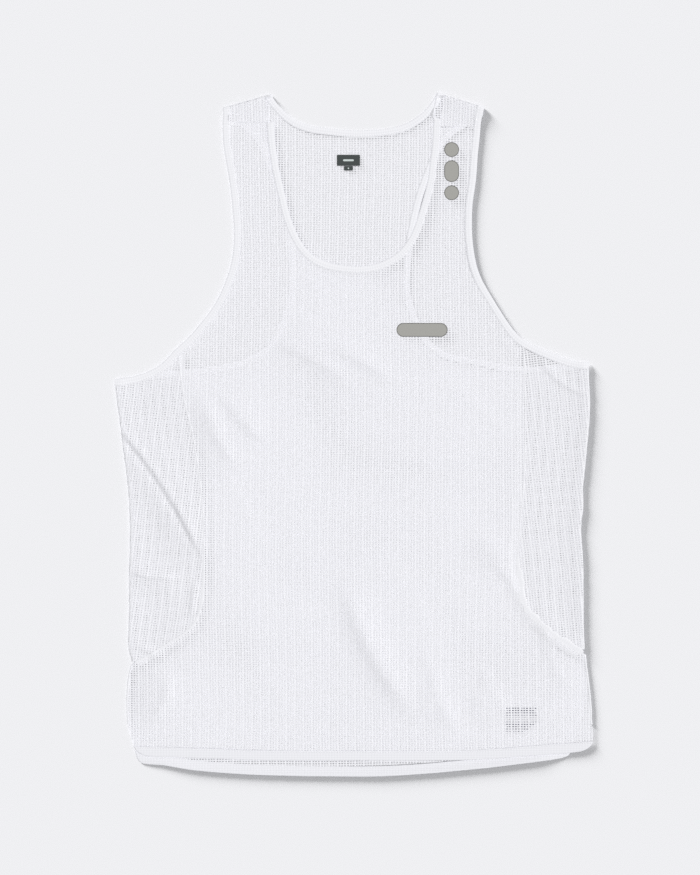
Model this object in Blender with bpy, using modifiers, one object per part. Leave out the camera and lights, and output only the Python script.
"""A sleeveless running singlet, laid flat on its back, front up.

The garment is cut from one ladder-mesh knit: a front, a racer back whose straps go over the
shoulders to a forward shoulder seam, and two side panels that wrap from front to back. Neck
and armholes are bound, the hems are turned up, and a label with a size tab sits inside the
back neck. The lower layer lies flat on z = 0. The upper layer lies on it, lifted into soft
folds and rolled at the sides and shoulders. Each surface is modelled as the cloth's outer
face, and the wall is then thickened inwards. Left is -X, the shoulders are at +Y.
"""
import math

import bmesh
import bpy
from mathutils import Vector
from mathutils.geometry import intersect_line_line_2d

for thing in list(bpy.data.objects):
    bpy.data.objects.remove(thing)

MM = 0.001
ENDS = ("left", "right")

# Walls and seams, in metres.
WALL = 1.0 * MM                 # one layer of mesh
BINDING_WALL = 1.4 * MM         # folded strip round a raw edge
HEM_WALL = 1.4 * MM             # turned edge, two layers
LABEL_WALL = 0.6 * MM
SEAM_GAP = 0.3 * MM             # between neighbouring pieces
BINDING_WIDTH = 6.6 * MM
HEM_DEPTH = 10.0 * MM
UPPER_FACE = 2.7 * MM           # outer face of the upper layer where it lies flat
ROLL_FACE = 4.2 * MM            # the same beside a side or shoulder roll
ROLL_REACH = 22.0 * MM          # how far the roll's lift runs into the panel
SEAM_FACE = 2.3 * MM            # upper outer face at the sewn side edge below the side panels
VENT_TOP = -296.0 * MM          # the sides are open below this y
ROLL_RADIUS = 1.6 * MM          # how far a roll stands out past its fold line
CROWN = 0.2 * MM                # rise of a binding's middle
BOUND_PROUD = 0.4 * MM          # how far a binding stands above the panel beside it
UNDERARM_TAB = 5.0 * MM         # run of the front armhole binding past the underarm fold
TIP_WIDTH = 3.0 * MM            # blunt end of a side panel

# Mesh density.
PANEL_CELL = 13.0 * MM
FLAT_CELL = 90.0 * MM
HEM_CELL = 24.0 * MM
STRIP_STEP = 14.0 * MM          # longest step along a binding
SIDE_ROWS = 26                  # down a side panel
SIDE_COLUMN = 16.0 * MM         # across it
PATH_STEP = 4.0 * MM
PATH_TOLERANCE = 0.15 * MM
CUT_SNAP = 0.02 * MM
STRAP_START = 5.0 * MM          # a strap's cuts stay this far from the middle
STRAP_INNER = 40.0 * MM         # only cloth outside this x runs over a shoulder
SHOULDERS_FROM = 300.0 * MM     # shoulder rolls lie above this y
UNDERARM_REACH = 45.0 * MM      # an armhole this far above the underarm is clear of the side fold
# How far edges run on straight, so that the next edge of an outline cuts them.
SEAM_RUN_ON = 15.0 * MM
SIDE_RUN_ON = 12.0 * MM
HEM_RUN_ON = 45.0 * MM
ROLL_STEPS = 5                  # round a fold of the cloth
ROW_SHIFT = 6                   # power by which a side panel's rows leave the armhole's curve

# Linear base colours: white polyester in daylight, and a dark label.
KNIT = (0.80, 0.81, 0.84)
KNIT_SIDE = (0.82, 0.82, 0.85)
BINDING = (0.86, 0.86, 0.90)
LABEL = (0.05, 0.06, 0.06)
ROUGHNESS = 0.85

# Edges of the garment in plan, as (x, y) in millimetres. Armholes run from the shoulder fold
# to the underarm, and each is the finished edge of its binding.
ARMHOLE_FRONT_LEFT = ((-133, 333), (-134, 316.5), (-133.5, 298), (-130.5, 279.5), (-127.5, 259.5),
                      (-124.5, 239), (-123, 216.5), (-122.5, 194), (-126, 171.5), (-133.5, 149),
                      (-146, 126.5), (-165.5, 102.5), (-182.5, 86), (-198, 70.5), (-218.5, 60.5),
                      (-244, 56))
ARMHOLE_FRONT_RIGHT = ((132.5, 333.5), (129.5, 318.5), (126.5, 290), (123.5, 254), (120.5, 231),
                       (120, 210.5), (121.5, 190), (124.5, 172.5), (130.5, 157), (142.5, 137),
                       (156.5, 114.5), (168, 100), (182.5, 91), (211, 79), (226.5, 74.5),
                       (239, 73.5))
ARMHOLE_BACK_LEFT = ((-133, 333), (-130.5, 322.5), (-122.5, 316.5), (-113, 311), (-103.5, 302),
                     (-94, 284), (-78.5, 240), (-69.5, 202), (-67.5, 175.5), (-67.5, 142),
                     (-74.5, 118.5), (-88, 92.5), (-102, 82), (-116.5, 75.5), (-150, 68.5),
                     (-198, 63.5), (-244, 56))
ARMHOLE_BACK_RIGHT = ((132.5, 333.5), (130, 322.5), (122, 316.5), (108, 309.5), (95, 299.5),
                      (85.5, 282), (72.5, 249), (63, 213.5), (58, 175.5), (58, 142),
                      (65, 118.5), (77.5, 96), (93.5, 84), (126.5, 77), (168, 69.5),
                      (210, 71.5), (239, 73.5))
# Finished edges of the neck, left shoulder point to right shoulder point.
NECK_FRONT = ((-85, 346.5), (-82.7, 328.5), (-79.5, 290), (-71.2, 247), (-61.3, 211),
              (-49.5, 190.5), (-33.5, 177.7), (-8.5, 171.9), (20, 172.9), (43.5, 184.7),
              (56, 199.8), (65.8, 224.7), (74.2, 254.8), (79.1, 290.3), (81.2, 322.5), (85, 348))
NECK_BACK = ((-85, 346.5), (-77.5, 337), (-68.5, 327), (-58.5, 320), (-43, 314.5), (-21.5, 311.5),
             (3, 310), (26.5, 311), (51, 316), (68, 326.5), (79.5, 340), (85, 348))
# Shoulder fold lines, armhole end first, and the forward shoulder seams below them.
SHOULDER_FOLD = {"left": ((-133, 331.4), (-85, 344.9)),
                 "right": ((132.5, 331.9), (85, 346.4))}
SHOULDER_SEAM = {"left": ((-150, 316), (-70, 317.5)),
                 "right": ((150, 312.5), (70, 313.5))}
# Side folds from the underarm down to the vents.
SIDE_LEFT = ((-244, 56), (-242, 35), (-238.5, 10.5), (-236, -11), (-232.5, -36.5), (-229.5, -67),
             (-228.5, -108), (-229.5, -143.5), (-229.5, -179.5), (-230, -220), (-226.5, -231.5),
             (-229.5, -245.5), (-231, -261), (-231.5, -282.5), (-230, -299.5), (-226, -315))
SIDE_RIGHT = ((239, 73.5), (239.5, 55.5), (240.5, 35), (240, 14.5), (237.5, -13), (235, -39.5),
              (233, -57), (234, -74), (231.5, -89.5), (231.5, -103), (233.5, -128.5),
              (234, -181.5), (234.5, -210), (237, -238.5), (240, -261), (241.5, -292.5))
# Seams of the side panels, armhole to side. Front and back seams share one line in plan.
SIDE_SEAM_LEFT = ((-180.5, 98), (-173.5, 37), (-163.5, -6), (-155, -67), (-153, -118),
                  (-155, -167), (-160.5, -188.5), (-167.5, -198.5), (-179.5, -207),
                  (-198, -219), (-226.5, -235))
SIDE_SEAM_RIGHT = ((171.5, 110), (174, 55.5), (174.5, 4.5), (173, -46.5), (168, -108),
                   (167, -134.5), (170, -147.5), (172.5, -170), (178.5, -181.5),
                   (189.5, -191.5), (204, -204.5), (218, -213), (234.5, -223.5))
# Sewn sides below the side panels, downwards, on each layer.
SIDE_LOWER_FRONT = {
    "left": ((-230, -220), (-226.5, -231.5), (-229.5, -245.5), (-231, -261), (-231.5, -282.5),
             (-230, -299.5), (-226, -315)),
    "right": ((234.5, -210), (237, -238.5), (240, -261), (241.5, -281.5), (241.5, -292.5),
              (243.5, -299.5), (244, -309))}
SIDE_LOWER_BACK = {
    "left": ((-230, -220), (-226.5, -231.5), (-229.5, -245.5), (-231, -261), (-231.5, -282.5),
             (-230, -299.5), (-226, -315), (-223.5, -322), (-222, -328)),
    "right": ((234.5, -210), (236, -238.5), (236, -262), (231, -292.5), (226, -308), (222, -320))}
# Finished hem edges, left to right, with the rounded vent corners at their two ends.
HEM_FRONT = ((-206, -328.5), (-181.5, -329), (-156, -330), (-96, -332), (-4, -332.5),
             (77.5, -332.5), (135.5, -331), (179.5, -327.5), (221, -324.5))
CORNERS_FRONT = {"left": ((-226, -315), (-222.5, -322), (-216, -326.5)),
                 "right": ((234.5, -322), (241.5, -317), (244, -309), (243.5, -299.5))}
HEM_BACK = ((-193, -337.5), (-165.5, -342), (-126.5, -345.5), (-86, -347.5), (-35, -348.5),
            (26.5, -348.5), (77.5, -345.5), (108, -342.5), (135.5, -340), (164, -336.5),
            (184.5, -334), (212, -330))
CORNERS_BACK = {"left": ((-223.5, -322), (-221.5, -330), (-217.5, -335)),
                "right": ((219, -327), (221.5, -321), (226, -308))}
# The label inside the back neck and its tab: centre x, top y, width, height.
NECK_LABEL = (-5.8, 284.8, 23.5, 11.2)
SIZE_TAB = (-5.8, 273.3, 9.0, 4.5)
LABEL_CORNER = 0.8 * MM

# How the upper layer's lift fades, in metres down or across it.
SEWN_LEAD = 4.0 * MM            # a side roll begins to flatten this far below its side panel
SEWN_FADE = 16.0 * MM
FREE_FROM = 1.0 * MM            # folds gain their full height over this strip by a side fold
FREE_RUN = 10.0 * MM
ROLL_SHARE = 0.35               # share of a fold's height that carries on into a side roll
# A fold grows and fades over this share of its length, from this far outside its ends, and
# falls off across its half width by this exponent.
FOLD_FADE = 0.45
FOLD_OVERRUN = 0.15
FOLD_BELL = 2.2

# Folds of the upper layer: start and end in plan, sideways bow of the middle, half width
# and height, all in millimetres. A negative height is a trough in the swell round it.
FOLDS = (
    # x0,   y0,   x1,   y1,  bow, half, height
    (-236, 6, -160, -118, 6, 26, 3.6),      # swell of the left side panel
    (-236, 4, -168, -106, 6, 9, -3.1),      # deep crease across it
    (-226, -143, -180, -154, -2, 12, 2.4),  # short fold above the left slanted seam
    (-196, -240, -208, -290, 3, 14, 2.4),   # fold below that seam
    (-156, 40, -126, -28, -3, 13, 2.2),     # left chest, outer
    (-126, 44, -92, -6, -3, 12, 1.9),       # left chest, inner
    (-70, 95, -4, 50, 4, 12, 2.0),          # drag line under the neck, left
    (-20, 92, 34, 54, 4, 11, 1.7),          # drag line under the neck, right
    (-8, -158, 62, -282, -6, 16, 3.2),      # long slant fold, lower front
    (74, -250, 98, -300, -3, 12, 2.2),      # its lower companion
    (124, -264, 150, -294, -2, 12, 2.0),    # short slant fold near the right hem
    (122, -110, 156, -136, 3, 14, 2.4),     # ridge into the right side seam
    (184, -162, 228, -220, -8, 13, 1.8),    # ridge along the right slanted seam
)


# ---------------------------------------------------------------- paths in plan

def in_metres(table):
    return [Vector(row) * MM for row in table]


def smooth(points, step=PATH_STEP):
    """Centripetal spline through the points, sampled about every step."""
    first = points[0] * 2 - points[1]
    last = points[-1] * 2 - points[-2]
    knots = [first] + list(points) + [last]
    path = []
    for a, b, c, d in zip(knots, knots[1:], knots[2:], knots[3:]):
        ta = 0.0
        tb = ta + math.sqrt((b - a).length)
        tc = tb + math.sqrt((c - b).length)
        td = tc + math.sqrt((d - c).length)
        count = max(1, round((c - b).length / step))
        for index in range(count):
            t = tb + (tc - tb) * index / count
            ab = a.lerp(b, (t - ta) / (tb - ta))
            bc = b.lerp(c, (t - tb) / (tc - tb))
            cd = c.lerp(d, (t - tc) / (td - tc))
            abc = ab.lerp(bc, (t - ta) / (tc - ta))
            bcd = bc.lerp(cd, (t - tb) / (td - tb))
            path.append(abc.lerp(bcd, (t - tb) / (tc - tb)))
    path.append(points[-1].copy())
    return path


def side_of(path, index):
    """Unit normal to the left of the path at one of its points."""
    before = path[max(index - 1, 0)]
    after = path[min(index + 1, len(path) - 1)]
    along = (after - before).normalized()
    return Vector((-along.y, along.x))


def shift(path, distance):
    """The path moved to its left by the distance, without the loops that tight bends give."""
    moved = [point + side_of(path, index) * distance for index, point in enumerate(path)]
    kept = [moved[0]]
    for index in range(1, len(moved)):
        forward = path[index] - path[index - 1]
        if (moved[index] - kept[-1]).dot(forward) > 0:
            kept.append(moved[index])
    return kept


def lengthen(path, extra):
    """The path with both ends run on straight."""
    start = path[0] + (path[0] - path[1]).normalized() * extra
    end = path[-1] + (path[-1] - path[-2]).normalized() * extra
    return [start] + list(path) + [end]


def path_length(path):
    return sum((b - a).length for a, b in zip(path, path[1:]))


def resample(path, step):
    """Points at even distances along the path."""
    lengths = [0.0]
    for a, b in zip(path, path[1:]):
        lengths.append(lengths[-1] + (b - a).length)
    count = max(2, round(lengths[-1] / step))
    points = []
    segment = 0
    for index in range(count + 1):
        target = lengths[-1] * index / count
        while segment < len(path) - 2 and lengths[segment + 1] < target:
            segment += 1
        span = lengths[segment + 1] - lengths[segment]
        points.append(path[segment].lerp(path[segment + 1], (target - lengths[segment]) / span))
    return points


def spread(path, longest):
    """The path with points added so that no step is longer than given."""
    points = [path[0]]
    for a, b in zip(path, path[1:]):
        count = math.ceil((b - a).length / longest)
        points += [a.lerp(b, index / count) for index in range(1, count + 1)]
    return points


def thin_out(path, tolerance=PATH_TOLERANCE):
    """The path with the points dropped that lie within the tolerance of a straight line."""
    if len(path) < 3:
        return list(path)
    chord = path[-1] - path[0]
    length = max(chord.length, 1e-9)
    gaps = [abs(chord.cross(point - path[0])) / length for point in path]
    furthest = max(range(len(path)), key=gaps.__getitem__)
    if gaps[furthest] <= tolerance:
        return [path[0], path[-1]]
    return thin_out(path[:furthest + 1], tolerance)[:-1] + thin_out(path[furthest:], tolerance)


def crossing(path, other):
    """Where the path first meets the other one: index before it on each, and the point."""
    for i in range(len(path) - 1):
        for j in range(len(other) - 1):
            point = intersect_line_line_2d(path[i], path[i + 1], other[j], other[j + 1])
            if point is not None:
                return i, j, Vector(point)
    raise ValueError(f"edges do not meet: {path[0]} to {path[-1]}, {other[0]} to {other[-1]}")


def outline(*edges):
    """Closed outline from edges in order, each cut where it meets the next one."""
    starts = []
    for index, edge in enumerate(edges):
        following = edges[(index + 1) % len(edges)]
        # The last meeting along this edge counts, so it is searched from its far end.
        back = list(reversed(edge))
        i, j, point = crossing(back, following)
        starts.append((len(edge) - 2 - i, j, point))
    corners = []
    for index, edge in enumerate(edges):
        end_index, _, end_point = starts[index]
        _, start_index, start_point = starts[index - 1]
        corners += thin_out([start_point] + edge[start_index + 1:end_index + 1] + [end_point])[:-1]
    return corners


def x_along(path, y):
    """x of a path at a given y."""
    for a, b in zip(path, path[1:]):
        if (a.y - y) * (b.y - y) <= 0 and a.y != b.y:
            return a.x + (b.x - a.x) * (y - a.y) / (b.y - a.y)
    return path[0].x if abs(y - path[0].y) < abs(y - path[-1].y) else path[-1].x


SIDES = {"left": smooth(in_metres(SIDE_LEFT)), "right": smooth(in_metres(SIDE_RIGHT))}
FOLD_LINES = {name: in_metres(line) for name, line in SHOULDER_FOLD.items()}
SEAMED_BELOW = {"left": SIDE_SEAM_LEFT[-1][1] * MM, "right": SIDE_SEAM_RIGHT[-1][1] * MM}


# ---------------------------------------------------------------- height of the upper layer

def ease(t):
    t = min(max(t, 0.0), 1.0)
    return t * t * (3 - 2 * t)


def fold_height(x, y, fold):
    """Height of one soft fold at a point: a bell across it, fading out at both ends."""
    x0, y0, x1, y1, bow, half, height = (value * MM for value in fold)
    start = Vector((x0, y0))
    run = Vector((x1 - x0, y1 - y0))
    t = (Vector((x, y)) - start).dot(run) / run.length_squared
    fade = ease((t + FOLD_OVERRUN) / FOLD_FADE) * ease((1 + FOLD_OVERRUN - t) / FOLD_FADE)
    across = Vector((-run.y, run.x)).normalized()
    offset = (Vector((x, y)) - start).dot(across) - bow * 4 * t * (1 - t)
    return height * fade * math.exp(-FOLD_BELL * (offset / half) ** 2)


def shoulder_depth(point, side):
    """Distance of a plan point inside the shoulder fold of one side."""
    outer, inner = FOLD_LINES[side]
    along = (inner - outer).normalized()
    outward = Vector((-along.y, along.x))
    if outward.y < 0:
        outward = -outward
    return (outer - point).dot(outward), outward


def upper_face(x, y):
    """Outer face of the upper layer over a plan point."""
    side = "left" if x < 0 else "right"
    inside = abs(x_along(SIDES[side], y)) - abs(x)
    top = SIDES[side][0].y
    near_side = 1 - ease(inside / ROLL_REACH) if y < top else 0.0
    below = ease((SEAMED_BELOW[side] + SEWN_LEAD - y) / SEWN_FADE)
    sewn = ease((y - VENT_TOP) / SEWN_FADE)
    sewn_face = UPPER_FACE + (SEAM_FACE - UPPER_FACE) * sewn
    edge_face = ROLL_FACE + (sewn_face - ROLL_FACE) * below
    face = UPPER_FACE + (edge_face - UPPER_FACE) * near_side
    depth, _ = shoulder_depth(Vector((x, y)), side)
    face += (ROLL_FACE - UPPER_FACE) * (1 - ease(depth / ROLL_REACH))
    folds = sum(fold_height(x, y, fold) for fold in FOLDS)
    free = ease((inside - FREE_FROM) / FREE_RUN)
    return face + max(folds, 0.0) * (free + (1 - free) * ROLL_SHARE * (1 - below))


# ---------------------------------------------------------------- over the shoulder

ROLL_LENGTH = math.pi * (UPPER_FACE + ROLL_FACE) / 4


def unfold(point, side):
    """Plan point of the upper layer, laid out past the shoulder fold in one flat piece."""
    depth, outward = shoulder_depth(point, side)
    return point + outward * (2 * depth + ROLL_LENGTH)


def over_shoulder(point, proud=0.0):
    """Outer face of a piece of the lower layer that may run on over a shoulder fold."""
    side = "left" if point.x < 0 else "right"
    depth, outward = shoulder_depth(point, side)
    if depth >= 0 or abs(point.x) < STRAP_INNER:
        return Vector((point.x, point.y, 0.0))
    past = -depth
    line = point - outward * past
    if past >= ROLL_LENGTH:
        plan = line - outward * (past - ROLL_LENGTH)
        return Vector((plan.x, plan.y, upper_face(plan.x, plan.y) + proud))
    turn = math.pi * past / ROLL_LENGTH
    face = upper_face(line.x, line.y) + proud
    plan = line + outward * ROLL_RADIUS * math.sin(turn)
    return Vector((plan.x, plan.y, face * (1 - math.cos(turn)) / 2))


# ---------------------------------------------------------------- making the solids

def finish(name, colour):
    material = bpy.data.materials.new(name)
    material.use_nodes = True
    shader = material.node_tree.nodes["Principled BSDF"]
    shader.inputs["Base Color"].default_value = (*colour, 1.0)
    shader.inputs["Roughness"].default_value = ROUGHNESS
    shader.inputs["Metallic"].default_value = 0.0
    return material


def add_piece(name, mesh, wall, colour):
    """An object with its own material, its wall thickened inwards from the outer face."""
    piece = bpy.data.objects.new(name, mesh)
    GARMENT.objects.link(piece)
    mesh.materials.append(finish(name, colour))
    for polygon in mesh.polygons:
        polygon.use_smooth = True
    thicken = piece.modifiers.new("wall", "SOLIDIFY")
    thicken.thickness = wall
    thicken.offset = -1.0
    thicken.use_even_offset = True
    return piece


def cut_cloth(name, corners, cell, face, wall, colour, upward=True, rolls=()):
    """A flat-cut piece: an outline, parted by a grid, each point lifted to its outer face."""
    mesh = bpy.data.meshes.new(name)
    bm = bmesh.new()
    bm.faces.new([bm.verts.new((point.x, point.y, 0.0)) for point in corners])
    for axis in (0, 1):
        normal = Vector((1 - axis, axis, 0))
        low = min(point[axis] for point in corners)
        high = max(point[axis] for point in corners)
        for index in range(math.ceil(low / cell), math.floor(high / cell) + 1):
            bmesh.ops.bisect_plane(bm, geom=bm.verts[:] + bm.edges[:] + bm.faces[:],
                                   dist=CUT_SNAP, plane_co=normal * cell * index,
                                   plane_no=normal)
    for sign, place, normal in rolls:
        strap = [f for f in bm.faces if all(v.co.x * sign > STRAP_START for v in f.verts)]
        parts = {part for f in strap for part in [f, *f.verts, *f.edges]}
        bmesh.ops.bisect_plane(bm, geom=list(parts), dist=CUT_SNAP, plane_co=place,
                               plane_no=normal)
    bmesh.ops.remove_doubles(bm, verts=bm.verts, dist=SEAM_GAP)
    bmesh.ops.triangulate(bm, faces=bm.faces)
    bm.normal_update()
    bmesh.ops.reverse_faces(bm, faces=[f for f in bm.faces if (f.normal.z > 0) != upward])
    for vert in bm.verts:
        vert.co = face(vert.co.xy)
    bm.to_mesh(mesh)
    bm.free()
    return add_piece(name, mesh, wall, colour)


def loft(name, rows, wall, colour, upward):
    """A piece through rows of points, each row joined to the next."""
    mesh = bpy.data.meshes.new(name)
    bm = bmesh.new()
    grid = [[bm.verts.new(point) for point in row] for row in rows]
    for near, far in zip(grid, grid[1:]):
        for a, b, c, d in zip(near, near[1:], far[1:], far):
            bm.faces.new((a, b, c, d))
    bm.normal_update()
    if (grid[0][0].link_faces[0].normal.z > 0) != upward:
        bmesh.ops.reverse_faces(bm, faces=bm.faces)
    bm.to_mesh(mesh)
    bm.free()
    return add_piece(name, mesh, wall, colour)


def upper(point, proud=0.0):
    return Vector((point.x, point.y, upper_face(point.x, point.y) + proud))


def upper_bound(point, crown=0.0):
    return upper(point, BOUND_PROUD + crown)


def over_bound(point, crown=0.0):
    return over_shoulder(point, BOUND_PROUD + crown)


def lower(point):
    return Vector((point.x, point.y, 0.0))


def fold_x(side, y):
    """x of a side's fold line, which lies a roll's radius inside its silhouette."""
    edge = x_along(SIDES[side], y)
    return edge - math.copysign(ROLL_RADIUS, edge)


def round_side(side, y, turn, proud=0.0):
    """Outer face of a roll round a side fold, turn 0 on the upper layer and pi on the lower."""
    x = fold_x(side, y)
    face = upper_face(x, y) + proud
    return Vector((x + math.copysign(ROLL_RADIUS, x) * math.sin(turn), y,
                   face * (1 + math.cos(turn)) / 2))


def run_from(path, line):
    """The stretch of a path after it meets a line."""
    index, _, point = crossing(path, line)
    return [point] + path[index + 1:]


def run_to(path, line):
    """The stretch of a path up to where it meets a line."""
    index, _, point = crossing(path, line)
    return path[:index + 1] + [point]


def inside_shoulder(path):
    """The points of a path that lie inside their shoulder fold."""
    return [p for p in path if shoulder_depth(p, "left" if p.x < 0 else "right")[0] > 0]


def inner_side(side):
    """Sign that turns a downward path's left normal towards the cloth."""
    return 1 if side == "left" else -1


def widths(wide):
    return (0.0, wide / 2, wide)


def strip_rows(path, inward, place, crown):
    """Rows across a binding: its finished edge, its crowned middle and its inner edge."""
    rows = []
    for index, point in enumerate(path):
        across = side_of(path, index) * inward
        rows.append([place(point + across * wide, crown if wide == BINDING_WIDTH / 2 else 0.0)
                     for wide in widths(BINDING_WIDTH)])
    return rows


# ---------------------------------------------------------------- edges of every piece

ARMHOLE_FRONT = {"left": smooth(in_metres(ARMHOLE_FRONT_LEFT)),
                 "right": smooth(in_metres(ARMHOLE_FRONT_RIGHT))}
ARMHOLE_BACK = {"left": smooth(in_metres(ARMHOLE_BACK_LEFT)),
                "right": smooth(in_metres(ARMHOLE_BACK_RIGHT))}
SEAM_LINE = {name: in_metres(line) for name, line in SHOULDER_SEAM.items()}
SIDE_SEAM = {"left": smooth(in_metres(SIDE_SEAM_LEFT)), "right": smooth(in_metres(SIDE_SEAM_RIGHT))}
NECK_FRONT_EDGE = smooth(in_metres(NECK_FRONT))
NECK_BACK_EDGE = smooth(in_metres(NECK_BACK))
INNER_EDGE = BINDING_WIDTH + SEAM_GAP


def armhole_over(side):
    """Back armhole edge in one flat piece: from the forward shoulder seam over to the underarm."""
    strap = inside_shoulder(run_to(ARMHOLE_FRONT[side], SEAM_LINE[side]))
    return [unfold(point, side) for point in reversed(strap)] + inside_shoulder(ARMHOLE_BACK[side])


def neck_over():
    """Back neck edge in one flat piece, from the left shoulder seam to the right one."""
    left = inside_shoulder(run_to(NECK_FRONT_EDGE, SEAM_LINE["left"]))
    right = inside_shoulder(run_from(NECK_FRONT_EDGE, SEAM_LINE["right"]))
    return ([unfold(point, "left") for point in reversed(left)] + inside_shoulder(NECK_BACK_EDGE)
            + [unfold(point, "right") for point in reversed(right)])


def front_of_seam(side):
    """The line where front pieces begin, two gaps below the forward shoulder seam."""
    return [point - Vector((0, 2 * SEAM_GAP)) for point in SEAM_LINE[side]]


def over_seam(side):
    """Forward shoulder seam in the flat piece, moved back by the gap to the front."""
    return [unfold(point + Vector((0, SEAM_GAP)), side) for point in SEAM_LINE[side]]


def within_roll(path, side, margin=0.0):
    """The points of a path that stop short of the side fold by a margin."""
    return [p for p in path if p.y > SIDES[side][0].y + UNDERARM_REACH
            or abs(p.x) < abs(fold_x(side, p.y)) - margin]


def stations(path):
    """Few points that keep a path's bends, with one at each step round a shoulder roll."""
    kept = thin_out(path)
    points = [kept[0]]
    for a, b in zip(kept, kept[1:]):
        end = "left" if a.x < 0 else "right"
        past = [-shoulder_depth(point, end)[0] for point in (a, b)]
        count = math.ceil((b - a).length / STRIP_STEP)
        shares = [index / count for index in range(1, count)]
        if a.y > SHOULDERS_FROM and past[0] != past[1]:
            for step in range(ROLL_STEPS + 1):
                share = (ROLL_LENGTH * step / ROLL_STEPS - past[0]) / (past[1] - past[0])
                if 0.02 < share < 0.98:
                    shares.append(share)
        points += [a.lerp(b, share) for share in sorted(shares)]
        points.append(b)
    return points


# Binding edges, a point for each row: a binding and the panel inside it share them.
BOUND_FRONT = {}
BOUND_BACK = {}
for end in ENDS:
    front_edge = within_roll(run_from(ARMHOLE_FRONT[end], front_of_seam(end)), end)
    BOUND_FRONT[end] = stations(front_edge)
    BOUND_BACK[end] = stations(within_roll(armhole_over(end), end, UNDERARM_TAB + SEAM_GAP))
BOUND_NECK_FRONT = stations(run_to(run_from(NECK_FRONT_EDGE, front_of_seam("left")),
                                   front_of_seam("right")))
BOUND_NECK_BACK = stations(neck_over())


def inner_edge(bound, inward):
    """The line where the panel inside a binding begins, run on past the binding's ends."""
    return lengthen(shift(bound, INNER_EDGE * inward), SEAM_RUN_ON)


def side_seam(side, bound):
    """Seam of a side panel on one layer, a point for each row, from the binding to the tip."""
    path = within_roll(lengthen(SIDE_SEAM[side], SEAM_RUN_ON), side, TIP_WIDTH)
    path = run_from(path, inner_edge(bound, inner_side(side)))
    return resample(path, path_length(path) / SIDE_ROWS)


SEAM_FRONT = {end: side_seam(end, BOUND_FRONT[end]) for end in ENDS}
SEAM_BACK = {end: side_seam(end, BOUND_BACK[end]) for end in ENDS}


# ---------------------------------------------------------------- the pieces

def body_outline(hem, sides, seams, armholes, shoulders, neck):
    """Outline of a body panel, anticlockwise from the left end of its hem."""
    gaps = {end: SEAM_GAP / 2 * inner_side(end) for end in ENDS}
    seam = {end: lengthen(shift(seams[end], gaps[end]), SEAM_RUN_ON) for end in gaps}
    flank = {end: lengthen(smooth(in_metres(sides[end])), SIDE_RUN_ON) for end in gaps}
    armhole = {end: inner_edge(armholes[end], inner_side(end)) for end in gaps}
    return outline(
        lengthen(shift(smooth(in_metres(hem)), HEM_DEPTH + SEAM_GAP), HEM_RUN_ON),
        flank["right"][::-1],
        seam["right"][::-1],
        armhole["right"][::-1],
        shoulders["right"],
        inner_edge(neck, -1)[::-1],
        shoulders["left"][::-1],
        armhole["left"],
        seam["left"],
        flank["left"],
    )


def build_front():
    corners = body_outline(HEM_FRONT, SIDE_LOWER_FRONT, SEAM_FRONT, BOUND_FRONT, SEAM_LINE,
                           BOUND_NECK_FRONT)
    return cut_cloth("front_panel", corners, PANEL_CELL, upper, WALL, KNIT)


def build_back():
    shoulders = {end: over_seam(end) for end in ENDS}
    corners = body_outline(HEM_BACK, SIDE_LOWER_BACK, SEAM_BACK, BOUND_BACK, shoulders,
                           BOUND_NECK_BACK)
    rolls = []
    for end, sign in (("left", -1), ("right", 1)):
        _, outward = shoulder_depth(Vector((0, 0)), end)
        for step in range(ROLL_STEPS + 1):
            place = FOLD_LINES[end][0] + outward * ROLL_LENGTH * step / ROLL_STEPS
            rolls.append((sign, place.to_3d(), outward.to_3d()))
    return cut_cloth("back_panel", corners, FLAT_CELL, over_shoulder, WALL, KNIT,
                     upward=False, rolls=rolls)


def build_side(side):
    """A side panel: rows from the front seam round the side fold to the back seam."""
    outward = -inner_side(side)
    front_seam = shift(SEAM_FRONT[side], SEAM_GAP / 2 * outward)
    back_seam = shift(SEAM_BACK[side], SEAM_GAP / 2 * outward)
    fold_line = shift(SIDES[side], ROLL_RADIUS * inner_side(side))
    fold_line = lengthen(fold_line, SEAM_RUN_ON)
    layers = []
    for seam, bound in ((front_seam, BOUND_FRONT[side]), (back_seam, BOUND_BACK[side])):
        top = run_from(inner_edge(bound, inner_side(side)), lengthen(seam, SEAM_RUN_ON))
        layers.append((seam, spread(run_to(top, fold_line), SIDE_COLUMN)))
    rows = []
    for index in range(SIDE_ROWS + 1):
        down = index / SIDE_ROWS
        flat = []
        for seam, top in layers:
            y = top[-1].y + (seam[-1].y - top[-1].y) * down
            fold = Vector((fold_x(side, y), y))
            chord = top[-1] - top[0]
            spans = [(point - top[0]).dot(chord) / chord.length_squared for point in top]
            fade = (1 - down) ** ROW_SHIFT
            flat.append([seam[index].lerp(fold, span)
                         + (point - top[0].lerp(top[-1], span)) * fade
                         for point, span in zip(top, spans)])
        row = [upper(point) for point in flat[0]]
        for step in range(1, ROLL_STEPS):
            y = flat[0][-1].lerp(flat[1][-1], step / ROLL_STEPS).y
            row.append(round_side(side, y, math.pi * step / ROLL_STEPS))
        row += [lower(point) for point in reversed(flat[1])]
        rows.append(row)
    return loft("side_panel_" + side, rows, WALL, KNIT_SIDE, upward=True)


def row_ends(path, side):
    """Plan points across the last row of a binding."""
    across = side_of(path, len(path) - 1) * inner_side(side)
    return [path[-1] + across * wide for wide in widths(BINDING_WIDTH)]


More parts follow.
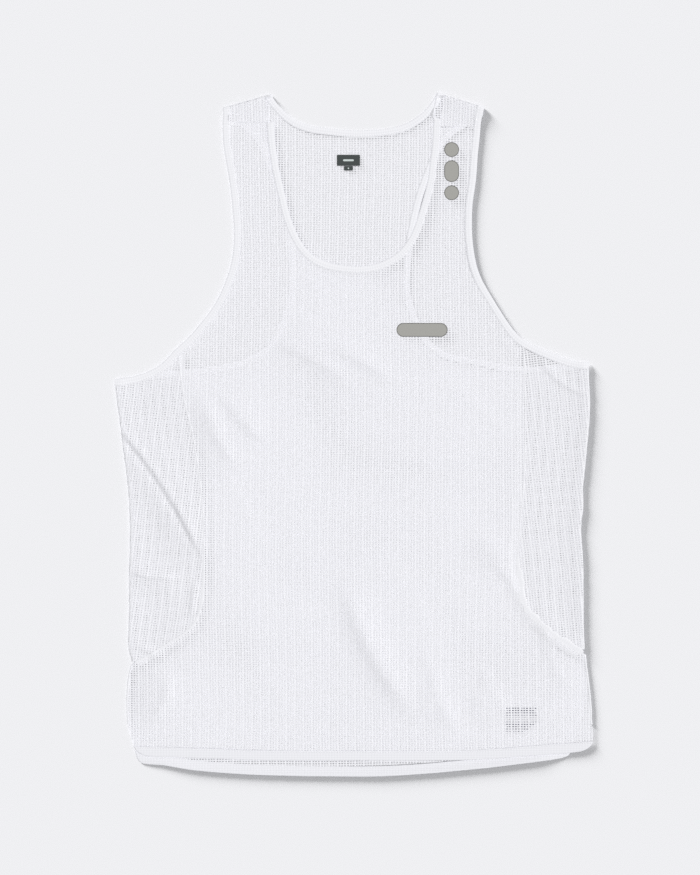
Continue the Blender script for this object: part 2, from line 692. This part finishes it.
def build_armhole_front(side):
    """Front half of an armhole binding, from the shoulder seam round the underarm fold."""
    path = BOUND_FRONT[side]
    rows = strip_rows(path, inner_side(side), upper_bound, CROWN)
    front_ends = row_ends(path, side)
    back_ends = row_ends(BOUND_BACK[side], side)
    back = BOUND_BACK[side]
    along = (back[-1] - back[-2]).normalized()
    for step in range(1, ROLL_STEPS + 1):
        share = step / ROLL_STEPS
        rows.append([round_side(side, front.lerp(behind + along * UNDERARM_TAB, share).y,
                                math.pi * share, BOUND_PROUD)
                     for front, behind in zip(front_ends, back_ends)])
    rows.append([lower(point + along * SEAM_GAP) for point in back_ends])
    return loft("armhole_binding_" + side + "_front", rows, BINDING_WALL, BINDING, upward=True)


def build_armhole_back(side):
    """Back half of an armhole binding, from the forward shoulder seam over the shoulder."""
    rows = strip_rows(BOUND_BACK[side], inner_side(side), over_bound, 0.0)
    return loft("armhole_binding_" + side + "_back", rows, BINDING_WALL, BINDING, upward=True)


def build_neck_front():
    rows = strip_rows(BOUND_NECK_FRONT, -1, upper_bound, CROWN)
    return loft("neck_binding_front", rows, BINDING_WALL, BINDING, upward=True)


def build_neck_back():
    rows = strip_rows(BOUND_NECK_BACK, -1, over_bound, 0.0)
    return loft("neck_binding_back", rows, BINDING_WALL, BINDING, upward=True)


def build_hem(name, middle, ends, face, upward):
    line = shift(smooth(in_metres(middle)), HEM_DEPTH)
    edge = smooth(in_metres(ends["left"] + middle + ends["right"]))
    corners = outline(edge, lengthen(line, HEM_RUN_ON)[::-1])
    return cut_cloth(name, corners, HEM_CELL, face, HEM_WALL, BINDING, upward=upward)


def build_label(name, centre_x, top_y, wide, tall):
    """A flat label on the inner face of the back, with small rounded corners."""
    low = Vector((centre_x - wide / 2, top_y - tall)) * MM
    high = Vector((centre_x + wide / 2, top_y)) * MM
    arcs = ((high.x, high.y, 0), (low.x, high.y, 90), (low.x, low.y, 180), (high.x, low.y, 270))
    corners = []
    for x, y, start in arcs:
        centre = Vector((x - math.copysign(LABEL_CORNER, x - (low.x + high.x) / 2),
                         y - math.copysign(LABEL_CORNER, y - (low.y + high.y) / 2)))
        for step in range(4):
            angle = math.radians(start + 30 * step)
            corners.append(centre + Vector((math.cos(angle), math.sin(angle))) * LABEL_CORNER)
    outer = WALL + SEAM_GAP + LABEL_WALL
    return cut_cloth(name, corners, FLAT_CELL, lambda p: Vector((p.x, p.y, outer)), LABEL_WALL,
                     LABEL, upward=True)


GARMENT = bpy.data.collections.new("running_singlet")
bpy.context.scene.collection.children.link(GARMENT)

build_back()
build_front()
for end in ENDS:
    build_side(end)
    build_armhole_front(end)
    build_armhole_back(end)
build_neck_front()
build_neck_back()
build_hem("hem_front", HEM_FRONT, CORNERS_FRONT, upper_bound, True)
build_hem("hem_back", HEM_BACK, CORNERS_BACK, lower, False)
build_label("neck_label", *NECK_LABEL)
build_label("size_tab", *SIZE_TAB)
